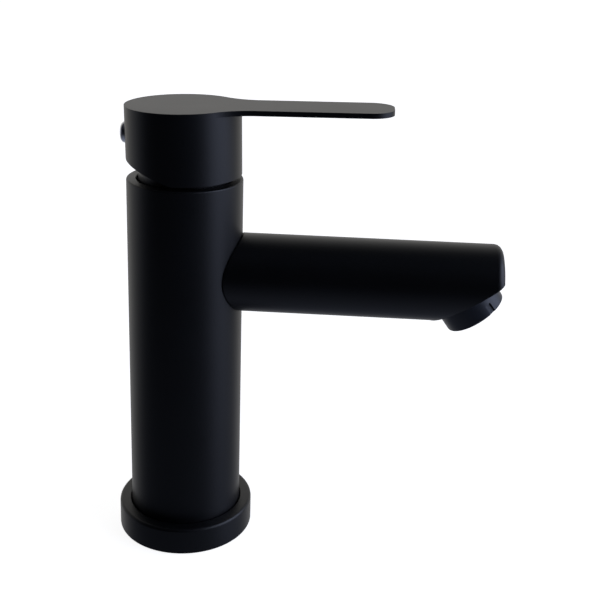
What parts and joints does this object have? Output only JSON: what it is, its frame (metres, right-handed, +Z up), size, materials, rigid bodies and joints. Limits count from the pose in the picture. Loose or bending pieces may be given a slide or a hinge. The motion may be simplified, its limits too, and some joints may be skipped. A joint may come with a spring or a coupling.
{
  "type": "bathroom mixer faucet",
  "caption": "Single-lever basin mixer with a round tube body, straight spout with a tilted aerator, flat lever on a cylindrical cap and a ceramic disc cartridge",
  "frame": {"origin": "centre of the base on the deck, on the underside of the bottom plug and on the body axis", "axes": "+Z up along the body, +X forwards along the spout and the closed lever, +Y to the user's right when they face the faucet (cold side)"},
  "size_m": [0.1524, 0.055, 0.1794],
  "materials": {
    "black_coat": "satin matte black coating on brass",
    "brass": "machined",
    "steel": "drawn stainless",
    "rubber": "matte black rubber",
    "dark_plastic": "semi-gloss black plastic",
    "white_plastic": "moulded",
    "blue_plastic": "moulded",
    "ceramic_disc": "lapped",
    "index_rim": "polished",
    "index_disc": "glossy, half hot and half cold colour"
  },
  "bodies": {
    "body": {"body_tube": "black_coat", "base_ring": "black_coat", "spout_tube": "black_coat", "bonnet": "black_coat", "base_gasket": "rubber", "base_plug": "brass", "hot_inlet_pipe": "steel", "cold_inlet_pipe": "steel", "hot_pipe_seal_lower": "rubber", "cold_pipe_seal_lower": "rubber", "hot_pipe_seal_upper": "rubber", "cold_pipe_seal_upper": "rubber", "cartridge_seat": "brass", "seat_o_ring": "rubber", "spout_nipple": "brass", "spout_gasket": "rubber", "aerator_housing": "dark_plastic", "aerator_insert": "dark_plastic", "aerator_screen": "steel", "aerator_washer": "rubber", "cartridge_base": "blue_plastic", "hot_port_seal": "rubber", "cold_port_seal": "rubber", "outlet_port_seal": "rubber", "fixed_disc": "ceramic_disc", "cartridge_housing": "white_plastic", "retaining_nut": "brass", "bonnet_o_ring": "rubber"},
    "rotor": {"stem_rotor": "blue_plastic", "stem_pin": "steel"},
    "handle": {"stem": "steel", "lever_handle": "black_coat", "grub_screw": "steel", "index_button": "index_rim", "index_insert": "index_disc"},
    "disc": {"moving_disc": "ceramic_disc", "disc_carrier": "white_plastic"}
  },
  "joints": [
    {"name": "handle_turn", "type": "hinge", "parent": "body", "child": "rotor", "pos_m": [0, 0, 0.14], "axis": [0, 0, 1], "range_deg": [-50, 50]},
    {"name": "handle_lift", "type": "hinge", "parent": "rotor", "child": "handle", "pos_m": [0, 0, 0.14], "axis": [0, -1, 0], "range_deg": [0, 17]},
    {"name": "disc_slide", "type": "slide", "parent": "rotor", "child": "disc", "axis": [1, 0, 0], "range_m": [0, 0.0026]}
  ],
  "couplings": [
    {"joint": "disc_slide", "follows": "handle_lift", "m_per_rad": 0.0084}
  ]
}
